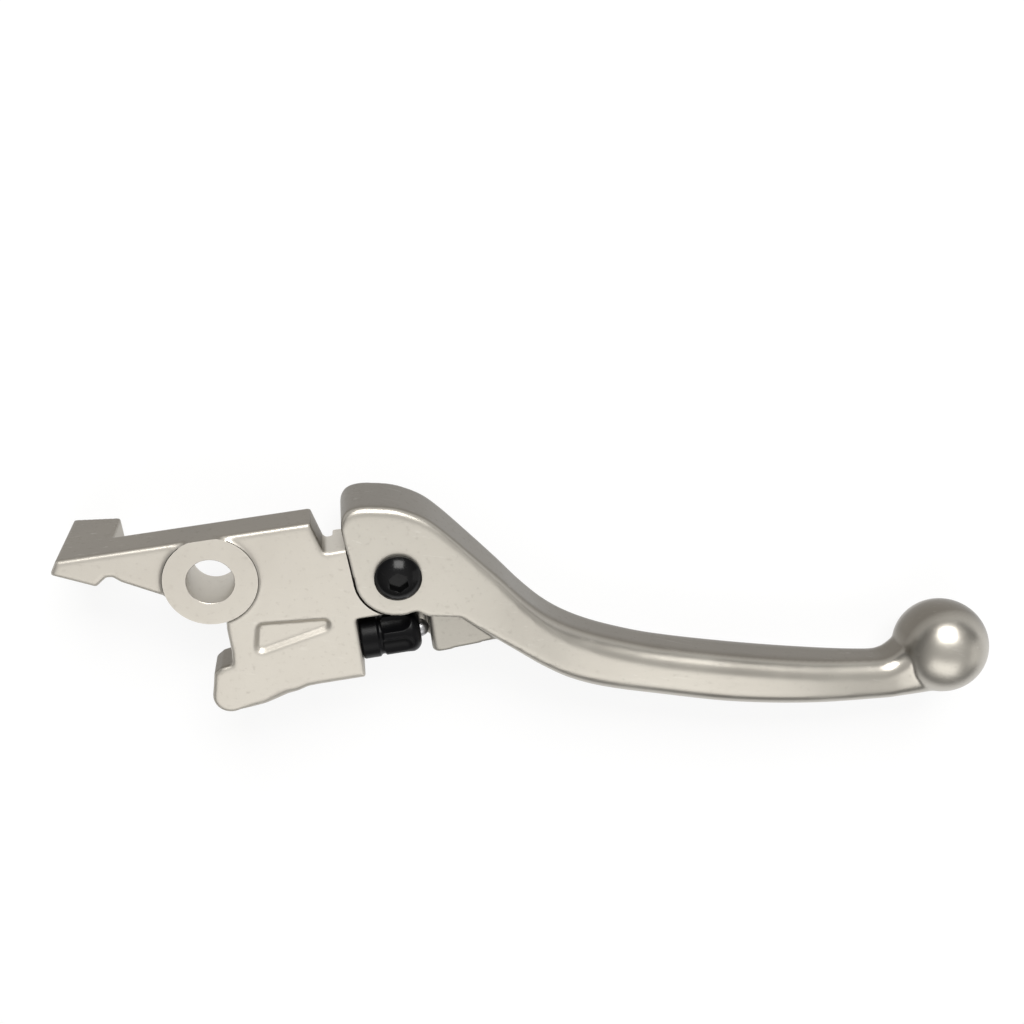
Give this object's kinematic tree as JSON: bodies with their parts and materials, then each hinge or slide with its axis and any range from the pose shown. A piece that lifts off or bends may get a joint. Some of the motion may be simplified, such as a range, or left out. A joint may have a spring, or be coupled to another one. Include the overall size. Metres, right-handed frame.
{
  "type": "motorcycle front brake lever",
  "caption": "Cast aluminium motorcycle brake lever with ball end, hinged blade, black screw and black reach adjuster knob.",
  "frame": {"origin": "centre of the main pivot bore, half way through the boss", "axes": "+Z along the bore towards the side that faces up when fitted; +X along the straight top edge of the arm towards the ball end; -Y towards the handlebar"},
  "size_m": [0.2075, 0.0721, 0.0269],
  "materials": {
    "cast_aluminium": "tumbled die casting, matt",
    "buffed_aluminium": "buffed, satin",
    "black_steel": "black oxide",
    "zinc_steel": "zinc plated",
    "spring_steel": "bright drawn",
    "black_plastic": "moulded, satin",
    "nylon": "plain"
  },
  "bodies": {
    "arm": {"base_arm": "cast_aluminium", "take_up_spring": "spring_steel", "detent_ball": "spring_steel", "detent_spring": "spring_steel"},
    "blade": {"lever_blade": "buffed_aluminium", "pivot_screw": "black_steel", "lock_nut": "zinc_steel", "nylon_ring": "nylon", "hinge_bush": "zinc_steel", "thrust_washer": "zinc_steel"},
    "knob": {"adjuster_knob": "black_plastic"},
    "plunger": {"adjuster_plunger": "zinc_steel"}
  },
  "joints": [
    {"name": "reach_hinge", "type": "hinge", "parent": "arm", "child": "blade", "pos_m": [0.0388, -0.0055, 0], "axis": [0, 0, 1], "range_deg": [-5.14, 0]},
    {"name": "knob_turn", "type": "hinge", "parent": "arm", "child": "knob", "pos_m": [0.035, -0.0211, 0.0012], "axis": [1, 0, 0], "range_deg": [0, 300.05]},
    {"name": "plunger_slide", "type": "slide", "parent": "arm", "child": "plunger", "axis": [1, 0, 0], "range_m": [-0.0014, 0]}
  ],
  "couplings": [
    {"joint": "knob_turn", "follows": "reach_hinge", "ratio": -58.344},
    {"joint": "plunger_slide", "follows": "reach_hinge", "m_per_rad": 0.0156}
  ]
}
